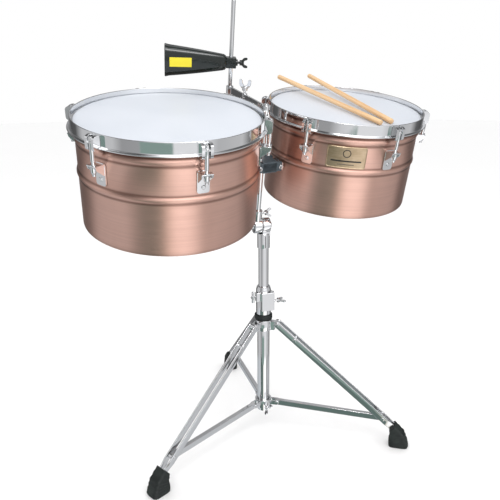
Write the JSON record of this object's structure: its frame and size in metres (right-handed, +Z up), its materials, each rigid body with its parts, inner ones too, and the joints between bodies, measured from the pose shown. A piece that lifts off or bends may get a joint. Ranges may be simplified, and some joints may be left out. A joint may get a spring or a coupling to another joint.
{
  "type": "timbales",
  "caption": "Pair of metal-shelled timbales with tension hoops, a cowbell on a rod and two sticks, on a tilting, height-adjustable folding tripod stand.",
  "frame": {"origin": "on the floor under the middle of the bounding box", "axes": "+Z up, +X from the larger drum to the smaller one, -Y towards the audience"},
  "size_m": [0.8232, 0.6884, 1.0806],
  "materials": {
    "copper": "brushed antique copper plate, lacquered",
    "chrome": "polished chrome plate on steel",
    "head_film": "coated white polyester film",
    "brass": "brushed brass",
    "black_rubber": "matt moulded rubber",
    "grey_paint": "dark blue-grey paint on cast steel",
    "black_gloss": "gloss black paint on steel",
    "hickory": "lacquered light hardwood"
  },
  "bodies": {
    "stand": {"outer_tube": "chrome", "leg_collar": "chrome", "collar_ring": "black_rubber", "height_clamp": "chrome", "height_eye_bolt": "chrome"},
    "height_bolt": {"height_wing_bolt": "chrome"},
    "brace_collar": {"brace_collar": "chrome"},
    "collar_screw": {"collar_wing_screw": "chrome"},
    "left_leg": {"left_leg": "chrome", "left_foot": "black_rubber"},
    "right_leg": {"right_leg": "chrome", "right_foot": "black_rubber"},
    "back_leg": {"back_leg": "chrome", "back_foot": "black_rubber"},
    "left_brace": {"left_brace": "chrome"},
    "right_brace": {"right_brace": "chrome"},
    "back_brace": {"back_brace": "chrome"},
    "mast": {"mast": "chrome", "tilter_base": "chrome"},
    "tilter_bolt": {"tilter_wing_bolt": "chrome"},
    "tilter": {"tilter_head": "chrome"},
    "post_screw": {"post_wing_screw": "chrome"},
    "post": {"post": "chrome"},
    "mount": {"mount_block": "grey_paint", "left_hinge_bolt": "chrome", "right_hinge_bolt": "chrome"},
    "left_drum": {"left_shell": "copper", "left_hoop": "chrome", "left_head": "head_film", "left_bracket": "chrome", "left_lug_1": "chrome", "left_lug_2": "chrome", "left_lug_3": "chrome", "left_lug_4": "chrome", "left_lug_5": "chrome", "left_lug_6": "chrome"},
    "right_drum": {"right_shell": "copper", "right_hoop": "chrome", "right_head": "head_film", "right_bracket": "chrome", "badge_plate": "brass", "right_lug_1": "chrome", "right_lug_2": "chrome", "right_lug_3": "chrome", "right_lug_4": "chrome", "right_lug_5": "chrome", "right_lug_6": "chrome"},
    "holder": {"holder_bar": "chrome"},
    "holder_screw": {"holder_wing_screw": "chrome"},
    "bell_rod": {"cowbell_rod": "chrome"},
    "bell": {"cowbell": "black_gloss", "cowbell_clamp": "black_gloss"},
    "bell_screw": {"cowbell_wing_screw": "black_gloss"},
    "stick_1": {"stick_1": "hickory"},
    "stick_2": {"stick_2": "hickory"}
  },
  "joints": [
    {"name": "left_leg_fold", "type": "hinge", "parent": "stand", "child": "left_leg", "pos_m": [-0.00638, -0.05499, 0.308], "axis": [0.4817, -0.8763, 0], "range_deg": [0, 37]},
    {"name": "right_leg_fold", "type": "hinge", "parent": "stand", "child": "right_leg", "pos_m": [0.05769, -0.05633, 0.308], "axis": [0.518, 0.8554, 0], "range_deg": [0, 37.3]},
    {"name": "back_leg_fold", "type": "hinge", "parent": "stand", "child": "back_leg", "pos_m": [0.02682, -0.00017, 0.308], "axis": [-0.9998, 0.0209, 0], "range_deg": [0, 37.3]},
    {"name": "brace_collar_slide", "type": "slide", "parent": "stand", "child": "brace_collar", "axis": [0, 0, 1], "range_m": [0, 0.1379]},
    {"name": "left_brace_fold", "type": "hinge", "parent": "brace_collar", "child": "left_brace", "pos_m": [-0.00638, -0.05499, 0.0825], "axis": [0.4817, -0.8763, 0], "range_deg": [0, 71.76]},
    {"name": "right_brace_fold", "type": "hinge", "parent": "brace_collar", "child": "right_brace", "pos_m": [0.05769, -0.05633, 0.0825], "axis": [0.518, 0.8554, 0], "range_deg": [0, 71.76]},
    {"name": "back_brace_fold", "type": "hinge", "parent": "brace_collar", "child": "back_brace", "pos_m": [0.02682, -0.00017, 0.0825], "axis": [-0.9998, 0.0209, 0], "range_deg": [0, 71.76]},
    {"name": "collar_screw_turn", "type": "hinge", "parent": "brace_collar", "child": "collar_screw", "pos_m": [0.02605, -0.03716, 0.0775], "axis": [-0.0209, -0.9998, 0], "range_deg": [-90, 90]},
    {"name": "height_bolt_turn", "type": "hinge", "parent": "stand", "child": "height_bolt", "pos_m": [0.02605, -0.05566, 0.3715], "axis": [1, 0, 0], "range_deg": [-90, 90]},
    {"name": "mast_height", "type": "slide", "parent": "stand", "child": "mast", "axis": [0, 0, 1], "range_m": [-0.09, 0.14]},
    {"name": "tilter_bolt_turn", "type": "hinge", "parent": "mast", "child": "tilter_bolt", "pos_m": [0.02605, -0.03716, 0.565], "axis": [1, 0, 0], "range_deg": [-90, 90]},
    {"name": "tilt", "type": "hinge", "parent": "mast", "child": "tilter", "pos_m": [0.02605, -0.03716, 0.565], "axis": [1, 0, 0], "range_deg": [-25, 20]},
    {"name": "post_screw_turn", "type": "hinge", "parent": "tilter", "child": "post_screw", "pos_m": [0.00905, -0.0447, 0.59764], "axis": [1, 0, 0], "range_deg": [-90, 90]},
    {"name": "post_height", "type": "slide", "parent": "tilter", "child": "post", "axis": [0, -0.225, 0.9744], "range_m": [0, 0.016]},
    {"name": "block_swivel", "type": "hinge", "parent": "post", "child": "mount", "pos_m": [0.00905, -0.03716, 0.565], "axis": [0, -0.225, 0.9744], "range_deg": [-5, 5]},
    {"name": "left_drum_tilt", "type": "hinge", "parent": "mount", "child": "left_drum", "pos_m": [-0.01465, -0.09189, 0.72047], "axis": [0.1719, -0.9599, -0.2216], "range_deg": [-2, 10]},
    {"name": "right_drum_tilt", "type": "hinge", "parent": "mount", "child": "right_drum", "pos_m": [0.03756, -0.08301, 0.72252], "axis": [-0.1719, 0.9599, 0.2216], "range_deg": [-2, 10]},
    {"name": "holder_swivel", "type": "hinge", "parent": "post", "child": "holder", "pos_m": [0.00905, -0.03716, 0.565], "axis": [0, -0.225, 0.9744], "range_deg": [-5, 5]},
    {"name": "holder_screw_turn", "type": "hinge", "parent": "holder", "child": "holder_screw", "pos_m": [-0.00901, -0.00049, 0.86596], "axis": [0, -0.225, 0.9744], "range_deg": [-180, 180]},
    {"name": "bell_rod_height", "type": "slide", "parent": "holder", "child": "bell_rod", "axis": [0, -0.225, 0.9744], "range_m": [-0.01, 0.03]},
    {"name": "bell_turn", "type": "hinge", "parent": "bell_rod", "child": "bell", "pos_m": [-0.02276, 0.0619, 0.94605], "axis": [0, -0.225, 0.9744], "range_deg": [-60, 60]},
    {"name": "bell_screw_turn", "type": "hinge", "parent": "bell", "child": "bell_screw", "pos_m": [-0.02276, 0.0619, 0.94605], "axis": [0.9845, -0.1709, -0.0395], "range_deg": [-90, 90]},
    {"name": "stick_1_lift", "type": "slide", "parent": "right_drum", "child": "stick_1", "axis": [0.0137, -0.2226, 0.9748], "range_m": [0, 0.12]},
    {"name": "stick_2_lift", "type": "slide", "parent": "right_drum", "child": "stick_2", "axis": [0.0137, -0.2226, 0.9748], "range_m": [0, 0.12]}
  ],
  "couplings": [
    {"joint": "right_leg_fold", "follows": "left_leg_fold", "ratio": 1},
    {"joint": "back_leg_fold", "follows": "left_leg_fold", "ratio": 1},
    {"joint": "brace_collar_slide", "follows": "left_leg_fold", "m_per_rad": 0.21194},
    {"joint": "left_brace_fold", "follows": "left_leg_fold", "ratio": 1.9314},
    {"joint": "right_brace_fold", "follows": "left_leg_fold", "ratio": 1.9314},
    {"joint": "back_brace_fold", "follows": "left_leg_fold", "ratio": 1.9314}
  ]
}
